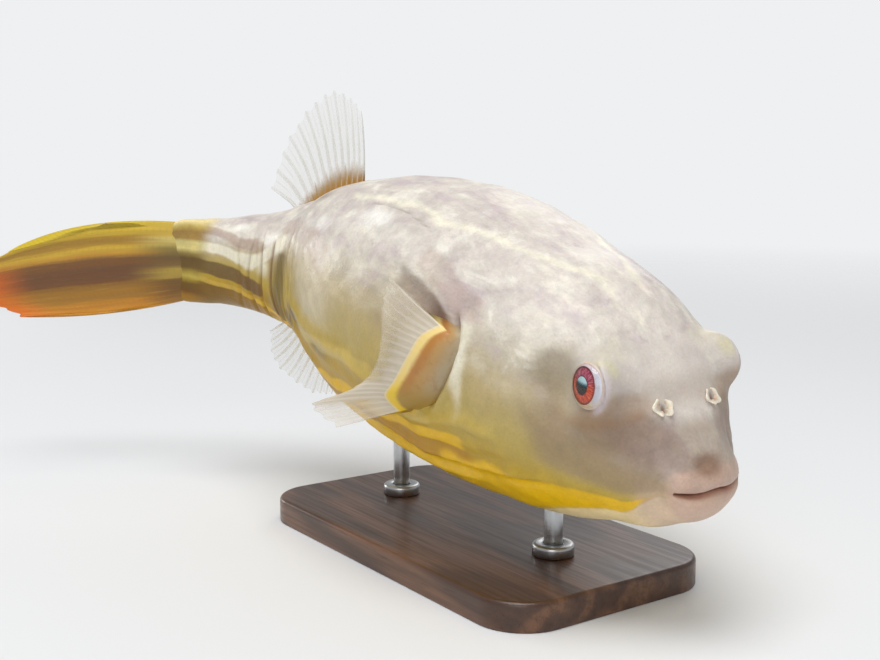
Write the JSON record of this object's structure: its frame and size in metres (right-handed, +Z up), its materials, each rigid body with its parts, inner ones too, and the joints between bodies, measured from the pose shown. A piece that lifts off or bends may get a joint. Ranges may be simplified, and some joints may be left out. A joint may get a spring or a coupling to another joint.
{
  "type": "freshwater pufferfish display model",
  "caption": "Still, life-size freshwater puffer with swung tail, spread fins and domed eyes, held by two short rods on a flat rounded base.",
  "frame": {"origin": "middle of the stand's foot, on the floor", "axes": "+Z up; -Y the way the fish's nose points; +X the fish's left"},
  "size_m": [0.2227, 0.4179, 0.2119],
  "materials": {
    "skin_head": "smooth wet-looking painted skin",
    "lips": "smooth fleshy pink",
    "skin_trunk": "finely prickled, cream back and yellow belly edge",
    "skin_tail": "smooth, lengthwise stripes",
    "tail_fin": "satin, striped yellow, brown and orange",
    "clear_fins": "thin translucent web with pale rays",
    "pectoral_fins": "thin translucent web on a tan fleshy root",
    "eyes": "clear cornea over a red-orange iris",
    "stand_wood": "dark satin-varnished wood",
    "stand_steel": "brushed"
  },
  "bodies": {
    "root": {"head": "skin_head", "upper_lip": "lips", "lower_lip": "lips", "trunk": "skin_trunk", "tail_stem": "skin_tail", "tail_fin": "tail_fin", "dorsal_fin": "clear_fins", "anal_fin": "clear_fins", "pectoral_fin_right": "pectoral_fins", "pectoral_fin_left": "pectoral_fins", "eye_right": "eyes", "eye_left": "eyes", "nostril_right": "skin_head", "nostril_left": "skin_head", "stand_base": "stand_wood", "stand_rod_front": "stand_steel", "stand_rod_rear": "stand_steel", "stand_collar_front": "stand_steel", "stand_collar_rear": "stand_steel"}
  },
  "joints": []
}
